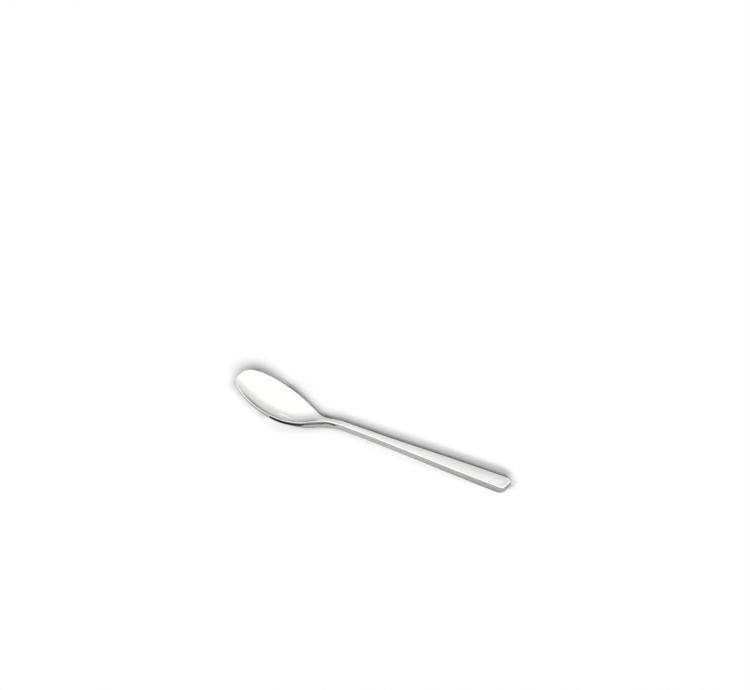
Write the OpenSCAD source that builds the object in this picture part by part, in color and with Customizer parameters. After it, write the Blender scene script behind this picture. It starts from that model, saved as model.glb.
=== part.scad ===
// Coffee spoon: one piece of polished stainless steel.
// X runs from the tip of the bowl to the end of the handle, and Z is up.
// The spoon lies at rest, on the belly of its bowl and on the end of its handle.

/* [Overall] */
// Length from the tip of the bowl to the end of the handle
length = 115; // [95:1:140]
// Radius of the rounded edge that runs all round the spoon
edge_r = 0.45; // [0.2:0.05:0.8]

/* [Bowl outline] */
// Length of the bowl, to where its outline would close inside the neck
bowl_len = 37.6; // [30:0.2:46]
// Greatest width of the bowl
bowl_w = 20; // [15:0.2:26]
// Distance from the tip to the widest place
bowl_widest = 14.8; // [11:0.2:18]
// Power that shapes the tip: 0.5 is an ellipse, and less is blunter
tip_power = 0.37; // [0.32:0.01:0.5]
// Power that shapes the heel: 2 is a parabola, and more is fuller
heel_power = 2.1; // [1.8:0.05:3]
// Reach of the soft corner where the bowl runs into the neck
neck_blend = 3; // [1:0.2:8]

/* [Bowl shell] */
// Depth of the hollow below the rim
bowl_depth = 5.4; // [3:0.1:8]
// Upright thickness at the rim
rim_t = 1.1; // [0.8:0.05:1.6]
// Width of the level top of the rim, before the hollow falls away
rim_land = 0.6; // [0.3:0.05:1.2]
// Upright thickness of the floor at the deepest place
floor_t = 1.2; // [0.8:0.05:2]

/* [Handle] */
// Width of the neck, the narrowest place
neck_w = 2.9; // [1.8:0.1:5]
// Width at the end
end_w = 7.6; // [5:0.1:12]
// Length of the stretch that widens from the neck to the end's width
taper_len = 52; // [30:1:60]
// Length of the stretch at the end that hardly widens
level_len = 6; // [3:0.5:15]
// Thickness of the neck where it leaves the bowl
neck_t = 2.85; // [1.8:0.05:3.5]
// Thickness of the handle past the neck
slim_t = 2.45; // [1.6:0.05:3]
// Thickness at the end, before it is softened
end_t = 2.8; // [1.6:0.05:3.4]
// Radius of the two corners of the end, seen from above
corner_r = 1.5; // [0.6:0.1:2.4]
// Height of the soft crown across the top at the end
crown = 0.2; // [0:0.05:0.4]
// Length of the softened end
soft_len = 3.2; // [2.6:0.1:5]
// Fall of the top over the softened end
soft_top = 0.4; // [0:0.05:0.6]
// Rise of the underside over the softened end
soft_under = 0.75; // [0:0.05:0.9]

/* [Side view] */
// Height of the tip of the bowl above the line of the handle
tip_rise = 5.85; // [2:0.1:9]
// Drop of the rim at the heel below the line of the handle
heel_drop = 3.1; // [0:0.1:5]
// Dip of the rim below a straight line from the tip to the heel
rim_sag = 1; // [0:0.05:2]
// Distance from the heel to the end of the bowl
heel_back = 9; // [6:0.5:12]
// Distance before the end of the bowl where the rim starts to climb to the handle
bend_back = 18; // [12:0.5:24]
// Distance past the end of the bowl where the handle is straight
bend_ahead = 11; // [8:0.5:20]
// Distance before the end of the bowl where the rim starts to thicken to the neck
swell_back = 15; // [8:0.5:20]

/* [Smoothness] */
// Sections from the tip to the widest place
tip_steps = 14; // [8:1:24]
// Sections from the widest place to the straight handle
bowl_steps = 30; // [16:1:48]
// Sections along the straight handle
handle_steps = 14; // [6:1:30]
// Sections from the straight handle to the corners of its softened end
soft_steps = 3; // [2:1:6]
// Sections round each corner of the end
corner_steps = 4; // [2:1:8]
// Strips across the top and across the underside
across = 16; // [8:2:24]
// Strips round each edge
edge_steps = 3; // [2:1:6]

/* [Hidden] */
steel = [0.78, 0.78, 0.79];

// Places along the spoon, measured from the tip of the bowl
heel_x = bowl_len - heel_back;
bend_start = bowl_len - bend_back;
bend_end = bowl_len + bend_ahead;
swell_start = bowl_len - swell_back;
taper_start = length - level_len - taper_len;
soft_x = length - soft_len;
corner_x = length - corner_r;

// Softness of the start and of the end of the taper
taper_ease = 0.6;
level_ease = 1;
// An edge takes less than half of the thinnest wall
end_face = end_t - soft_top - soft_under;
fillet = min(edge_r, 0.45 * min(rim_t, end_face));

// A step from 0 to 1 that starts and ends flat and without a change of curvature
function clamp(t) = max(0, min(1, t));
function soft_step(t) = pow(t, 3) * (10 - 15 * t + 6 * t * t);
function ease(t) = soft_step(clamp(t));

// The larger and the smaller of two values, with a rounded corner of reach k where they cross
function corner(a, b, k) = pow(max(k - abs(a - b), 0), 2) / (4 * k);
function blend_max(a, b, k) = max(a, b) + corner(a, b, k);
function blend_min(a, b, k) = min(a, b) - corner(a, b, k);

// Outline: half widths of the bowl alone, of the handle alone and of the spoon
function tip_half(x) = bowl_w / 2 * pow(1 - pow(1 - x / bowl_widest, 2), tip_power);
function back_half(x) = bowl_w / 2 * (1 - pow((x - bowl_widest) / (bowl_len - bowl_widest), heel_power));
function bowl_half(x) = x < bowl_widest ? tip_half(x) : max(0, back_half(x));
function taper(x) = (end_w - neck_w) / 2 * (x - taper_start) / taper_len;
function widening(x) = neck_w / 2 + blend_max(0, taper(x), taper_ease);
function handle_half(x) = blend_min(widening(x), end_w / 2, level_ease);
function back(x) = blend_max(back_half(x), handle_half(x), neck_blend);
function half(x) = x < bowl_widest ? tip_half(x) : back(x);

// Side view: the line of the rim, which climbs into the straight line of the handle
function rim_line(c) = tip_rise - (tip_rise + heel_drop) * c - 4 * rim_sag * c * (1 - c);
function climb(x) = ease((x - bend_start) / (bend_end - bend_start));
function rim_z(x) = rim_line(x / heel_x) * (1 - climb(x));

// Upright thickness at the edge: thin at the rim, thicker at the neck and at the end
function swell(x) = (neck_t - rim_t) * ease((x - swell_start) / swell_back);
function slimming(x) = (slim_t - neck_t) * ease((x - bowl_len) / bend_ahead);
function thickening(x) = (end_t - slim_t) * pow(clamp((x - bend_end) / (length - bend_end)), 3);
function wall_t(x) = rim_t + swell(x) + slimming(x) + thickening(x);
function soft(x) = pow(clamp((x - soft_x) / soft_len), 2);

// Share of the full depth of the hollow: 0 on the outline, and it fades out in the neck.
// The belly falls away from the outline at once, and the dish from a level rim.
function span(x) = x < bowl_widest ? bowl_w / 2 : half(x);
function full(x) = x < bowl_widest ? 1 : pow(bowl_half(x) / (bowl_w / 2), 2);
function room(x, y) = pow(half(x), 2) - y * y;
function share(x, y) = max(0, room(x, y)) / pow(span(x), 2);
function level_start(r, land) = r * r / (r + land) * (1 + land);
function dish(x, y) = bowl_depth * full(x) * level_start(share(x, y), 2 * rim_land / span(x));
function belly(x, y) = (bowl_depth + floor_t - rim_t) * full(x) * share(x, y);
function crown_z(x, y) = crown * ease((x - bowl_len) / bend_ahead) * room(x, y) / pow(end_w / 2, 2);

// The two faces of the spoon, over a place seen from above
function top_z(x, y) = rim_z(x) + crown_z(x, y) - dish(x, y) - soft_top * soft(x);
function under_z(x, y) = rim_z(x) - wall_t(x) - belly(x, y) + soft_under * soft(x);

// One side of the outline, from beside the tip to the end, closer together where it turns
tip_x = [for (i = [1:tip_steps]) bowl_widest * (1 - cos(90 * i / tip_steps))];
bowl_x = [for (i = [1:bowl_steps]) bowl_widest + (bend_end - bowl_widest) * i / bowl_steps];
handle_x = [for (i = [1:handle_steps]) bend_end + (soft_x - bend_end) * i / handle_steps];
soft_end_x = [for (i = [1:soft_steps]) soft_x + (corner_x - soft_x) * i / soft_steps];
straight_side = [for (x = concat(tip_x, bowl_x, handle_x, soft_end_x)) [x, half(x)]];
turns = [for (i = [1:corner_steps]) 90 * i / corner_steps];
corner_side = [for (a = turns) [corner_x, half(corner_x)] + corner_r * [sin(a), cos(a) - 1]];
side = concat(straight_side, corner_side);
rows = len(side);

// The whole outline as a loop: the tip, one side, across the end, and the other side back
end_half = side[rows - 1].y;
end_edge = [for (j = [1:across - 1]) [length, end_half * (1 - 2 * j / across)]];
far_side = [for (i = [rows - 1:-1:0]) [side[i].x, -side[i].y]];
outline = concat([[0, 0]], side, end_edge, far_side);
loop = len(outline);

// The direction into the spoon at each point of the outline
function along(k) = outline[(k + 1) % loop] - outline[(k + loop - 1) % loop];
function square_to(d) = [d.y, -d.x] / norm(d);
inward = [for (k = [0:loop - 1]) square_to(along(k))];
function inset(k, d) = outline[k] + d * inward[k];

// The spoon leans until its belly and the end of its handle lie on one level
row_x = [for (i = [1:rows]) inset(i, fillet).x];
belly_x = [for (x = row_x) if (x < bend_end) x];
end_x = [for (x = row_x) if (x > soft_x - soft_len) x];
function slope(a, b) = (under_z(b, 0) - under_z(a, 0)) / (b - a);
lean = min([for (b = end_x) max([for (a = belly_x) slope(a, b)])]);
low = min([for (x = row_x) under_z(x, 0) - lean * x]);
function placed(p, z) = [p.x - length / 2, p.y, z - lean * p.x - low];

// Grid over a face: a point behind the tip, then rows of points from side to side
function grid_point(i, j) = i == rows
    ? inset(rows + j, fillet)
    : let (p = inset(i, fillet)) [p.x, p.y * (1 - 2 * j / across)];
grid = concat([inset(0, fillet)], [for (i = [1:rows]) for (j = [0:across]) grid_point(i, j)]);
top_face = [for (p = grid) placed(p, top_z(p.x, p.y))];
under_face = [for (p = grid) placed(p, under_z(p.x, p.y))];

// Loops of points round the edges, as a quarter round below the top and one above the underside
edge_turns = [for (i = [1:edge_steps]) 90 * i / edge_steps];
function edge_in(a) = fillet * (1 - sin(a));
function edge_down(a) = fillet * (1 - cos(a));
function top_loop(a) = [for (k = [0:loop - 1])
    let (p = inset(k, edge_in(a))) placed(p, top_z(p.x, p.y) - edge_down(a))];
function under_loop(a) = [for (k = [0:loop - 1])
    let (p = inset(k, edge_in(a))) placed(p, under_z(p.x, p.y) + edge_down(a))];
top_loops = [for (a = edge_turns) each top_loop(a)];
under_loops = [for (i = [edge_steps - 1:-1:0]) each under_loop(edge_turns[i])];
points = concat(top_face, top_loops, under_loops, under_face);

// Numbers of the points: of a grid point, of a point of a loop, and of the rim of a grid
loops = 2 * edge_steps;
under_start = len(grid) + loops * loop;
function grid_number(i, j) = i == 0 ? 0 : 1 + (i - 1) * (across + 1) + j;
function rim_number(k) = k <= rows
    ? grid_number(k, 0)
    : k < rows + across ? grid_number(rows, k - rows) : grid_number(loop - k, across);
function loop_number(n, k) = n == 0
    ? rim_number(k)
    : n > loops ? under_start + rim_number(k) : len(grid) + (n - 1) * loop + k;

// Triangles, clockwise from outside
function two(a, b, c, d) = [[a, b, c], [a, c, d]];
function cell(i, j) = two(grid_number(i, j), grid_number(i + 1, j),
                          grid_number(i + 1, j + 1), grid_number(i, j + 1));
function band(n, k) = let (m = (k + 1) % loop)
    two(loop_number(n, m), loop_number(n, k), loop_number(n + 1, k), loop_number(n + 1, m));
fan = [for (j = [0:across - 1]) [0, grid_number(1, j), grid_number(1, j + 1)]];
cells = [for (i = [1:rows - 1]) for (j = [0:across - 1]) each cell(i, j)];
top_faces = concat(fan, cells);
under_faces = [for (f = top_faces) [f[2], f[1], f[0]] + under_start * [1, 1, 1]];
edge_faces = [for (n = [0:loops]) for (k = [0:loop - 1]) each band(n, k)];
faces = concat(top_faces, edge_faces, under_faces);

// The whole spoon is one piece: bowl, neck and handle are pressed from one blank
module spoon() {
    color(steel) polyhedron(points, faces, convexity = 4);
}

spoon();
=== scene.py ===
import math

import bpy
import numpy as np
from mathutils import Matrix, Vector


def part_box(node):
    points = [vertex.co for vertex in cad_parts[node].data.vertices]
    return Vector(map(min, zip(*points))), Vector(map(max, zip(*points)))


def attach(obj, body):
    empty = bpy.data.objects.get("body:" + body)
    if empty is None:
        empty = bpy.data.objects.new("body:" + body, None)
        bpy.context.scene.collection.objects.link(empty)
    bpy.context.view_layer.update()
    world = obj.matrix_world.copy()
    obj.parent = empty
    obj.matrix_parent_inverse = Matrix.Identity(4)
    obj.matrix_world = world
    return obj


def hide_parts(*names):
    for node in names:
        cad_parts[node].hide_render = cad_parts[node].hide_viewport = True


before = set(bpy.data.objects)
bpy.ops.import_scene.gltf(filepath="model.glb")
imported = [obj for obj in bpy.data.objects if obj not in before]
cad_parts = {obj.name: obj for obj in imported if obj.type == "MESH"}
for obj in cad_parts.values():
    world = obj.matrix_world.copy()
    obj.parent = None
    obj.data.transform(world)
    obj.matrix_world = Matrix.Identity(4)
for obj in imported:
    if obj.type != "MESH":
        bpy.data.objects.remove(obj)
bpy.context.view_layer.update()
mm = 0.001
print("frame loaded:", sorted(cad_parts))


class Wire:  # a node socket that takes part in Python maths
    def __init__(self, tree, socket=None):
        self.tree = tree
        self.socket = socket

    def make(self, kind, settings=None, inputs=None, out=0):
        node = self.tree.nodes.new(kind)
        for name, value in (settings or {}).items():
            setattr(node, name, value)
        for name, value in (inputs or {}).items():
            if isinstance(value, Wire):
                self.tree.links.new(value.socket, node.inputs[name])
            else:
                node.inputs[name].default_value = value
        return Wire(self.tree, node.outputs[out] if node.outputs else None)

    def maths(self, operation, a, b=0.0):
        return self.make("ShaderNodeMath", {"operation": operation}, {0: a, 1: b})

    def __add__(self, other):
        return self.maths("ADD", self, other)

    def __radd__(self, other):
        return self.maths("ADD", other, self)

    def __sub__(self, other):
        return self.maths("SUBTRACT", self, other)

    def __rsub__(self, other):
        return self.maths("SUBTRACT", other, self)

    def __mul__(self, other):
        return self.maths("MULTIPLY", self, other)

    def __rmul__(self, other):
        return self.maths("MULTIPLY", other, self)

    def smooth(self, low, high):  # 0 below low, 1 above high, soft between
        span = {"Value": self, "From Min": low, "From Max": high}
        return self.make("ShaderNodeMapRange", {"interpolation_type": "SMOOTHSTEP"}, span)

    def stretch(self, scale):  # a vector times a scale for each axis
        return self.make("ShaderNodeVectorMath", {"operation": "MULTIPLY"}, {0: self, 1: scale})

    def axis(self, name):  # one axis of a vector
        return self.make("ShaderNodeSeparateXYZ", inputs={"Vector": self}, out=name)


# Camera: the photograph's angle, with the spoon where the picture has it
shot = {
    "size": (750, 690),            # pixels
    "lens": 99.4, "sensor": 36.0,  # millimetres
    "azimuth": 32.56, "elevation": 26.87,
    "distance": 0.757,             # metres, to the middle of the spoon
    "middle": (369.9, 446.3),      # pixel where the middle of the spoon meets the table
}


def placeCamera():
    focal = shot["lens"] / shot["sensor"] * shot["size"][0]
    azimuth, elevation = math.radians(shot["azimuth"]), math.radians(shot["elevation"])
    right = Vector((math.cos(azimuth), math.sin(azimuth), 0))
    ahead = Vector((-math.sin(azimuth) * math.cos(elevation),
                    math.cos(azimuth) * math.cos(elevation), -math.sin(elevation)))
    up = right.cross(ahead)
    across = (shot["middle"][0] - shot["size"][0] / 2) / focal
    rise = (shot["size"][1] / 2 - shot["middle"][1]) / focal
    toMiddle = ahead + right * across + up * rise
    data = bpy.data.cameras.new("photoCamera")
    data.sensor_fit = "HORIZONTAL"
    data.sensor_width = shot["sensor"]
    data.lens = shot["lens"]
    data.clip_start = 0.01
    camera = bpy.data.objects.new("photoCamera", data)
    turn = Matrix((right, up, -ahead)).transposed().to_4x4()
    camera.matrix_world = Matrix.Translation(-toMiddle.normalized() * shot["distance"]) @ turn
    bpy.context.scene.collection.objects.link(camera)
    bpy.context.scene.camera = camera
    print("camera placed at", [round(v, 3) for v in camera.location])


# The spoon, whose outline, side view and wall are formulas of these sizes
lowCorner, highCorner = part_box("spoon")
spoonSizes = {
    "length": highCorner.x - lowCorner.x,
    "bowlWidth": highCorner.y - lowCorner.y,
    "bowlLength": 37.6 * mm,   # to where its outline would close inside the neck
    "widest": 14.8 * mm,       # from the tip
    "tipPower": 0.37,          # 0.5 is an ellipse, less is blunter
    "heelPower": 2.1,          # 2 is a parabola, more is fuller
    "neckBlend": 3 * mm,
    "bowlDepth": 5.4 * mm, "rimWall": 1.1 * mm, "floorWall": 1.2 * mm,
    "rimLand": 0.6 * mm,       # level top of the rim
    "neckWidth": 2.9 * mm, "neckWall": 2.85 * mm, "slimWall": 2.45 * mm,
    "endWidth": 7.6 * mm, "endWall": 2.8 * mm,
    "softLength": 3.2 * mm, "softTop": 0.4 * mm, "softUnder": 0.75 * mm,  # the softened end
    "taperLength": 52 * mm, "taperEase": 0.6 * mm, "levelLength": 6 * mm, "levelEase": 1 * mm,
    "cornerRadius": 1.5 * mm, "crown": 0.2 * mm,
    "tipRise": 5.85 * mm, "heelDrop": 3.1 * mm, "rimSag": 1 * mm,
    "heelBack": 9 * mm, "bendBack": 18 * mm, "bendAhead": 11 * mm, "swellBack": 15 * mm,
    "edgeRadius": 0.45 * mm,
    "tipRows": 48, "bowlRows": 110, "handleRows": 60, "softRows": 8, "cornerRows": 10,
    "across": 48, "edgeRows": 8,
}


def ease(t):  # a step with level ends and no jump in curvature
    t = np.clip(t, 0, 1)
    return t ** 3 * (10 - 15 * t + 6 * t * t)


def blendMax(a, b, reach):  # the larger value, with a rounded corner
    return np.maximum(a, b) + np.maximum(reach - np.abs(a - b), 0) ** 2 / (4 * reach)


def blendMin(a, b, reach):
    return -blendMax(-a, -b, reach)


class SpoonForm:
    def __init__(self, s):
        self.s = s
        self.bowlHalf = s["bowlWidth"] / 2
        self.bendEnd = s["bowlLength"] + s["bendAhead"]
        self.cornerStart = s["length"] - s["cornerRadius"]
        self.softStart = s["length"] - s["softLength"]
        bellyX = np.linspace(0.1, 1, 2000)[:, None] * self.bendEnd
        endX = np.linspace(self.softStart - s["softLength"], s["length"] - s["edgeRadius"], 200)
        slope = (self.under(endX, 0) - self.under(bellyX, 0)) / (endX - bellyX)
        self.lean = slope.max(0).min()
        x = np.append(bellyX[:, 0], endX)
        self.low = np.min(self.under(x, 0) - self.lean * x)

    def bowl(self, x):  # half width of the bowl alone, below 0 past its end
        s = self.s
        front = np.clip(1 - x / s["widest"], 0, 1)
        back = np.maximum((x - s["widest"]) / (s["bowlLength"] - s["widest"]), 0)
        return self.bowlHalf * (1 - front ** 2) ** s["tipPower"] * (1 - back ** s["heelPower"])

    def half(self, x):  # half width of the spoon
        s = self.s
        along = 1 - (s["length"] - s["levelLength"] - x) / s["taperLength"]
        taper = blendMax(0, (s["endWidth"] - s["neckWidth"]) / 2 * along, s["taperEase"])
        handle = blendMin(s["neckWidth"] / 2 + taper, s["endWidth"] / 2, s["levelEase"])
        return np.where(x < s["widest"], self.bowl(x), blendMax(self.bowl(x), handle, s["neckBlend"]))

    def rim(self, x):  # side view: the rim, climbing into the line of the handle
        s = self.s
        c = x / (s["bowlLength"] - s["heelBack"])
        line = s["tipRise"] - (s["tipRise"] + s["heelDrop"]) * c - 4 * s["rimSag"] * c * (1 - c)
        return line * (1 - ease((x - s["bowlLength"] + s["bendBack"]) / (s["bendBack"] + s["bendAhead"])))

    def wall(self, x):  # upright thickness at the edge
        s = self.s
        swell = (s["neckWall"] - s["rimWall"]) * ease((x - s["bowlLength"]) / s["swellBack"] + 1)
        slimming = (s["slimWall"] - s["neckWall"]) * ease((x - s["bowlLength"]) / s["bendAhead"])
        along = np.clip((x - self.bendEnd) / (s["length"] - self.bendEnd), 0, 1)
        return s["rimWall"] + swell + slimming + (s["endWall"] - s["slimWall"]) * along ** 3

    def soft(self, x):  # the end, from 0 where it starts to soften
        return np.clip((x - self.softStart) / self.s["softLength"], 0, 1) ** 2

    def room(self, x, y):
        return self.half(x) ** 2 - y * y

    def hollow(self, x, y, land):  # share of the bowl's depth, 0 on the outline, with a level rim
        span = np.where(x < self.s["widest"], self.bowlHalf, self.half(x))
        full = np.where(x < self.s["widest"], 1, (np.maximum(self.bowl(x), 0) / self.bowlHalf) ** 2)
        share = np.maximum(self.room(x, y), 0) / span ** 2
        level = 2 * land / span + 1e-9
        return full * share ** 2 / (share + level) * (1 + level)

    def top(self, x, y):
        s = self.s
        crown = s["crown"] * ease((x - s["bowlLength"]) / s["bendAhead"]) * self.room(x, y)
        dish = s["bowlDepth"] * self.hollow(x, y, s["rimLand"])
        return self.rim(x) + crown / (s["endWidth"] / 2) ** 2 - dish - s["softTop"] * self.soft(x)

    def under(self, x, y):
        s = self.s
        belly = (s["bowlDepth"] + s["floorWall"] - s["rimWall"]) * self.hollow(x, y, 0)
        return self.rim(x) - self.wall(x) - belly + s["softUnder"] * self.soft(x)

    def placed(self, x, y, z):  # in the frame, lying on the belly and the end of the handle
        return np.stack((x - self.s["length"] / 2, y, z - self.lean * x - self.low), -1)

    def side(self):  # one side of the outline, from beside the tip to the end
        s = self.s
        tipX = s["widest"] * (1 - np.cos(np.linspace(0, math.pi / 2, s["tipRows"] + 1)[1:]))
        bowlX = np.linspace(s["widest"], self.bendEnd, s["bowlRows"] + 1)[1:]
        handleX = np.linspace(self.bendEnd, self.softStart, s["handleRows"] + 1)[1:]
        softX = np.linspace(self.softStart, self.cornerStart, s["softRows"] + 1)[1:]
        x = np.concatenate((tipX, bowlX, handleX, softX))
        turn = np.linspace(0, math.pi / 2, s["cornerRows"] + 1)[1:]
        cornerX = self.cornerStart + s["cornerRadius"] * np.sin(turn)
        cornerY = self.half(self.cornerStart) + s["cornerRadius"] * (np.cos(turn) - 1)
        return np.stack((np.append(x, cornerX), np.append(self.half(x), cornerY)), -1)

    def outline(self):  # the tip, one side, across the end, and the other side back
        side = self.side()
        share = np.arange(1, self.s["across"]) / self.s["across"]
        end = np.stack((np.full(len(share), self.s["length"]), side[-1, 1] * (1 - 2 * share)), -1)
        return np.concatenate(([[0, 0]], side, end, side[::-1] * (1, -1))), len(side)


def spoonMesh(s):
    form = SpoonForm(s)
    outline, rows = form.outline()
    across, radius, loop = s["across"], s["edgeRadius"], len(outline)
    along = np.roll(outline, -1, 0) - np.roll(outline, 1, 0)
    inward = np.stack((along[:, 1], -along[:, 0]), -1) / np.linalg.norm(along, axis=1)[:, None]
    inset = outline + radius * inward
    share = 1 - 2 * np.arange(across + 1) / across
    grid = [inset[:1]]
    grid += [np.stack((np.full(across + 1, inset[i, 0]), inset[i, 1] * share), -1) for i in range(1, rows)]
    grid = np.concatenate(grid + [inset[rows:rows + across + 1]])
    gx, gy = grid.T
    points = [form.placed(gx, gy, form.top(gx, gy))]
    turns = np.linspace(0, math.pi / 2, s["edgeRows"] + 1)[1:]
    for face, way, order in ((form.top, -1, turns), (form.under, 1, turns[::-1])):
        for turn in order:  # a quarter round from each face to the side
            ex, ey = (outline + radius * (1 - math.sin(turn)) * inward).T
            points.append(form.placed(ex, ey, face(ex, ey) + way * radius * (1 - math.cos(turn))))
    points.append(form.placed(gx, gy, form.under(gx, gy)))
    underStart = len(grid) + 2 * s["edgeRows"] * loop

    def gridNumber(i, j):
        return 0 if i == 0 else 1 + (i - 1) * (across + 1) + j

    rim = [gridNumber(k, 0) for k in range(rows + 1)]
    rim += [gridNumber(rows, j) for j in range(1, across + 1)]
    rim += [gridNumber(i, across) for i in range(rows - 1, 0, -1)]
    loops = [rim]
    loops += [[len(grid) + n * loop + k for k in range(loop)] for n in range(2 * s["edgeRows"])]
    loops += [[underStart + number for number in rim]]
    topFaces = [(0, gridNumber(1, j + 1), gridNumber(1, j)) for j in range(across)]
    for i in range(1, rows):
        for j in range(across):
            topFaces.append((gridNumber(i, j), gridNumber(i, j + 1), gridNumber(i + 1, j + 1), gridNumber(i + 1, j)))
    faces = list(topFaces)
    for upper, lower in zip(loops, loops[1:]):
        for k in range(loop):
            m = (k + 1) % loop
            faces.append((upper[m], lower[m], lower[k], upper[k]))
    faces += [tuple(underStart + number for number in face[::-1]) for face in topFaces]
    mesh = bpy.data.meshes.new("polishedSpoon")
    mesh.from_pydata(np.concatenate(points).tolist(), [], faces)
    mesh.polygons.foreach_set("use_smooth", [True] * len(faces))
    mesh.update()
    return mesh


# Steel: mirror polish over very fine lines, with faint smears and hairline scratches
steelLook = {
    # painted light: the handle's steel is set lighter than the bowl's to brighten its reflections, though the spoon
    # is one steel
    "bowlColour": (0.84, 0.84, 0.825, 1), "handleBrightenedColour": (0.88, 0.88, 0.865, 1),
    "handleStart": (-0.025, -0.008),          # along the spoon, where one tone runs into the other
    "smearColour": (0.975, 0.975, 0.972, 1),  # multiplies
    "smearScale": 45.0, "smearBend": 0.6, "smearTint": (0.35, 0.8), "smearDull": (0.3, 0.8),
    "lineScale": (300.0, 9000.0, 9000.0),     # along, across and up, per metre
    "scratchScale": (260.0, 700.0, 700.0), "scratchWidth": 0.02, "scratchPatches": (0.55, 0.75),
    "roughness": 0.10, "smearRoughness": 0.05, "lineRoughness": 0.03, "scratchRoughness": 0.06,
    "grazing": (0.82, 0.82, 0.81, 1),         # share of the brightness kept at a glancing angle
    "bump": 0.04, "bumpHeight": 0.00001,
}


def polishedSteel():
    look = steelLook
    material = bpy.data.materials.new("polishedSteel")
    material.use_nodes = True
    tree = material.node_tree
    shader = tree.nodes["Principled BSDF"]
    base = Wire(tree)
    place = base.make("ShaderNodeTexCoord", out="Object")
    lines = base.make("ShaderNodeTexNoise", inputs={
        "Vector": place.stretch(look["lineScale"]), "Scale": 1.0, "Detail": 3.0}, out="Fac")
    smear = base.make("ShaderNodeTexNoise", inputs={
        "Vector": place, "Scale": look["smearScale"], "Detail": 4.0, "Distortion": look["smearBend"]}, out="Fac")
    cracks = base.make("ShaderNodeTexVoronoi", {"feature": "DISTANCE_TO_EDGE"}, {
        "Vector": place.stretch(look["scratchScale"]), "Scale": 1.0}, out="Distance")
    scratch = (1 - cracks.smooth(0.0, look["scratchWidth"])) * smear.smooth(*look["scratchPatches"])
    # the bowl's tone runs into the handle's painted lighter tone
    tone = base.make("ShaderNodeMix", {"data_type": "RGBA"}, {
        0: place.axis("X").smooth(*look["handleStart"]), 6: look["bowlColour"], 7: look["handleBrightenedColour"]}, out=2)
    tone = base.make("ShaderNodeMix", {"data_type": "RGBA", "blend_type": "MULTIPLY"}, {
        0: smear.smooth(*look["smearTint"]), 6: tone, 7: look["smearColour"]}, out=2)
    rough = (look["roughness"] + smear.smooth(*look["smearDull"]) * look["smearRoughness"]
             + lines * look["lineRoughness"] + scratch * look["scratchRoughness"])
    bump = base.make("ShaderNodeBump", inputs={
        "Strength": look["bump"], "Distance": look["bumpHeight"], "Height": lines - scratch})
    shader.inputs["Metallic"].default_value = 1.0
    shader.inputs["Specular Tint"].default_value = look["grazing"]
    tree.links.new(tone.socket, shader.inputs["Base Color"])
    tree.links.new(rough.socket, shader.inputs["Roughness"])
    tree.links.new(bump.socket, shader.inputs["Normal"])
    return material


def makeSpoon():
    piece = bpy.data.objects.new("polished_spoon", spoonMesh(spoonSizes))
    piece.data.materials.append(polishedSteel())
    bpy.context.scene.collection.objects.link(piece)
    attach(piece, "root")
    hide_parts("spoon")
    print("spoon made:", len(piece.data.vertices), "points")


# Table: white to the camera, greyer in the steel, with soft shade that the lamps alone don't give
tableLook = {
    "size": 12.0, "gap": 0.00002, "tone": 0.98,  # the gap is under the spoon
    "contactReach": 0.005, "contactShade": 0.20,
    "backShade": 0.31, "backGrowth": 4.2,        # behind the handle, deeper toward its end
    "backTurn": 0.048, "backSlant": 0.64, "backStart": (-0.045, -0.02), "backEnd": (0.0565, 0.0625),
    "backUnder": (0.0, 0.004), "backLight": 0.75, "backNear": (0.0095, 0.0115), "backFar": (0.0125, 0.0178),
    "tipShade": 0.28,                            # beside the raised tip, along a curve
    "tipFrom": -0.0435, "tipCurve": (-0.0029, -0.36, 8.5), "tipStart": (-0.0765, -0.0695),
    "tipEnd": (-0.0475, -0.0425), "tipInner": (-0.008, -0.003), "tipOuter": (-0.0005, 0.005),
    "mirrored": 0.53, "wedge": 0.02,             # tones in the steel, with a painted shade shaped as a dark wedge in front of the bowl
    "wedgeEnds": (-0.0408, -0.0195), "wedgeMiddle": -0.0045, "wedgeTurn": 0.281,
    "wedgeHalf": 0.0012, "wedgeGrowth": 0.54, "wedgeWiden": -0.0225, "wedgeSoft": 0.0004,
}


def backShade(x, y):
    look = tableLook
    away = y + look["backTurn"] * x
    light = look["backLight"]
    shade = x.smooth(*look["backStart"]) * (1 - (x + look["backSlant"] * y).smooth(*look["backEnd"]))
    shade = shade * y.smooth(*look["backUnder"]) * (light + (1 - light) * away.smooth(*look["backNear"]))
    shade = shade * (1 - away.smooth(*look["backFar"]))
    return shade * (look["backShade"] + look["backGrowth"] * x)


def tipShade(x, y):
    look = tableLook
    start, slope, bend = look["tipCurve"]
    run = x - look["tipFrom"]
    beside = start + run * (slope + bend * run) - y
    shade = look["tipShade"] * (1 - beside.smooth(*look["tipOuter"])) * beside.smooth(*look["tipInner"])
    return shade * x.smooth(*look["tipStart"]) * (1 - x.smooth(*look["tipEnd"]))


def paintedWedgeShade(x, y):  # painted shade seen only in the steel: 1 inside, narrow toward the neck
    look = tableLook
    soft = look["wedgeSoft"]
    left, right = look["wedgeEnds"]
    half = look["wedgeHalf"] + look["wedgeGrowth"] * x.maths("MAXIMUM", look["wedgeWiden"] - x)
    offset = x.maths("ABSOLUTE", y - look["wedgeTurn"] * x - look["wedgeMiddle"])
    wedge = 1 - (offset - half).smooth(-soft, soft)
    return wedge * x.smooth(left - soft, left + soft) * (1 - x.smooth(right - soft, right + soft))


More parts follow.
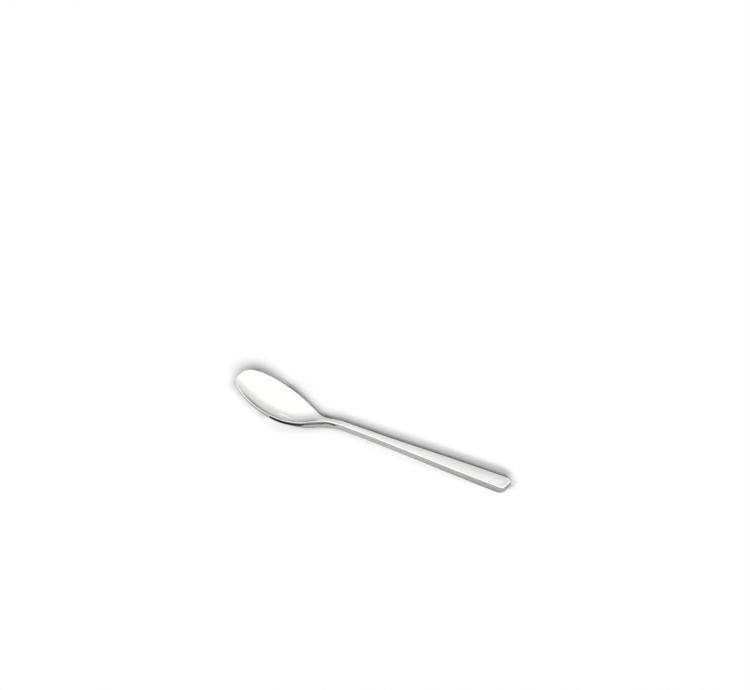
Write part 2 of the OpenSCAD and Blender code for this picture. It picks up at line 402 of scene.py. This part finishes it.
def tableMaterial():
    look = tableLook
    material = bpy.data.materials.new("whiteTable")
    material.use_nodes = True
    tree = material.node_tree
    tree.nodes.clear()
    base = Wire(tree)
    clear = base.make("ShaderNodeAmbientOcclusion", {"samples": 8}, {"Distance": look["contactReach"]}, out="AO")
    place = base.make("ShaderNodeTexCoord", out="Object")
    x, y = place.axis("X"), place.axis("Y")
    tone = look["tone"] * (1 - look["contactShade"] * (1 - clear)) * (1 - backShade(x, y)) * (1 - tipShade(x, y))
    # the table as the steel sees it, darkened in front of the bowl by the painted wedge shade
    mirrored = look["mirrored"] - paintedWedgeShade(x, y) * (look["mirrored"] - look["wedge"])
    matt = {"Roughness": 1.0, "Specular IOR Level": 0.0}
    seen = base.make("ShaderNodeBsdfPrincipled", inputs={**matt, "Base Color": tone})
    # in the steel the table glows with its grey tone, with painted contact shade from ambient occlusion near the
    # spoon
    inSteel = base.make("ShaderNodeBsdfPrincipled", inputs={
        **matt, "Base Color": (0, 0, 0, 1), "Emission Color": mirrored * clear, "Emission Strength": 1.0})
    glossy = base.make("ShaderNodeLightPath", out="Is Glossy Ray")
    both = base.make("ShaderNodeMixShader", inputs={0: glossy, 1: seen, 2: inSteel})
    base.make("ShaderNodeOutputMaterial", inputs={"Surface": both})
    return material


def makeTable():
    half = tableLook["size"] / 2
    mesh = bpy.data.meshes.new("whiteTable")
    corners = [(-half, -half), (half, -half), (half, half), (-half, half)]
    mesh.from_pydata([(x, y, -tableLook["gap"]) for x, y in corners], [], [(0, 1, 2, 3)])
    mesh.materials.append(tableMaterial())
    table = bpy.data.objects.new("whiteTable", mesh)
    bpy.context.scene.collection.objects.link(table)
    print("table made")


# Room: white to the camera; the steel shows white walls, a grey screen behind and a dark front
roomLook = {
    "ambient": 0.085, "walls": 1.22,
    "screen": 0.80, "screenPlace": (208.9, 22.2), "screenEdge": (0.588, 0.985),
    "strip": 0.225, "stripSide": 0.084, "stripEdge": (0.055, 0.198),  # bright strip above the screen
    "stripBack": (0.0, 0.1), "stripFoot": (0.46, 0.61), "stripHead": (0.674, 0.788),
    "front": 0.33, "frontSides": (0.3, 0.8), "frontHead": (0.3, 0.7),
}


def direction(azimuth, elevation):
    a, e = math.radians(azimuth), math.radians(elevation)
    return math.sin(a) * math.cos(e), -math.cos(a) * math.cos(e), math.sin(e)


def makeRoom():
    look = roomLook
    world = bpy.data.worlds.new("studioRoom")
    bpy.context.scene.world = world
    world.use_nodes = True
    tree = world.node_tree
    tree.nodes.clear()
    base = Wire(tree)
    way = base.make("ShaderNodeTexCoord", out="Generated")
    height = way.axis("Z")

    def toward(azimuth, elevation):
        inputs = {0: way, 1: direction(azimuth, elevation)}
        return base.make("ShaderNodeVectorMath", {"operation": "DOT_PRODUCT"}, inputs, out="Value")

    screen = toward(*look["screenPlace"]).smooth(*look["screenEdge"])
    level = look["walls"] - screen * (look["walls"] - look["screen"])
    side = base.maths("ABSOLUTE", toward(shot["azimuth"] + 90, 0) - look["stripSide"])
    strip = (1 - side.smooth(*look["stripEdge"])) * toward(shot["azimuth"] + 180, 0).smooth(*look["stripBack"])
    strip = strip * height.smooth(*look["stripFoot"]) * (1 - height.smooth(*look["stripHead"]))
    level = level + strip * look["strip"]
    front = toward(shot["azimuth"], 0).smooth(*look["frontSides"]) * (1 - height.smooth(*look["frontHead"]))
    level = level - front * (look["walls"] - look["front"])
    seen = base.make("ShaderNodeLightPath", out="Is Camera Ray")
    glossy = base.make("ShaderNodeLightPath", out="Is Glossy Ray")
    through = base.make("ShaderNodeLightPath", out="Is Transmission Ray")
    shown = seen + through + glossy * level
    rest = (1 - seen) * (1 - through) * (1 - glossy) * look["ambient"]
    light = base.make("ShaderNodeBackground", inputs={"Color": shown + rest})
    base.make("ShaderNodeOutputWorld", inputs={"Surface": light})
    print("room made")


# Lamps: azimuth, elevation, spread and share of the light on the table
softLamps = {
    "front": (30, 23, 8, 0.325),
    "frontRight": (38, 23, 8, 0.41),
    "left": (-10, 33, 14, 0.20),
}


def makeLamps():
    for name, (azimuth, elevation, spread, share) in softLamps.items():
        data = bpy.data.lights.new(f"{name}Lamp", "SUN")
        data.energy = share * math.pi / math.sin(math.radians(elevation))
        data.angle = math.radians(spread)
        lamp = bpy.data.objects.new(f"{name}Lamp", data)
        lamp.rotation_euler = (math.radians(90 - elevation), 0, math.radians(azimuth))
        lamp.visible_glossy = False  # the steel shows the room instead
        bpy.context.scene.collection.objects.link(lamp)
    print("lamps made:", len(softLamps))


placeCamera()
makeSpoon()
makeTable()
makeRoom()
makeLamps()
bpy.context.scene.view_settings.view_transform = "Standard"
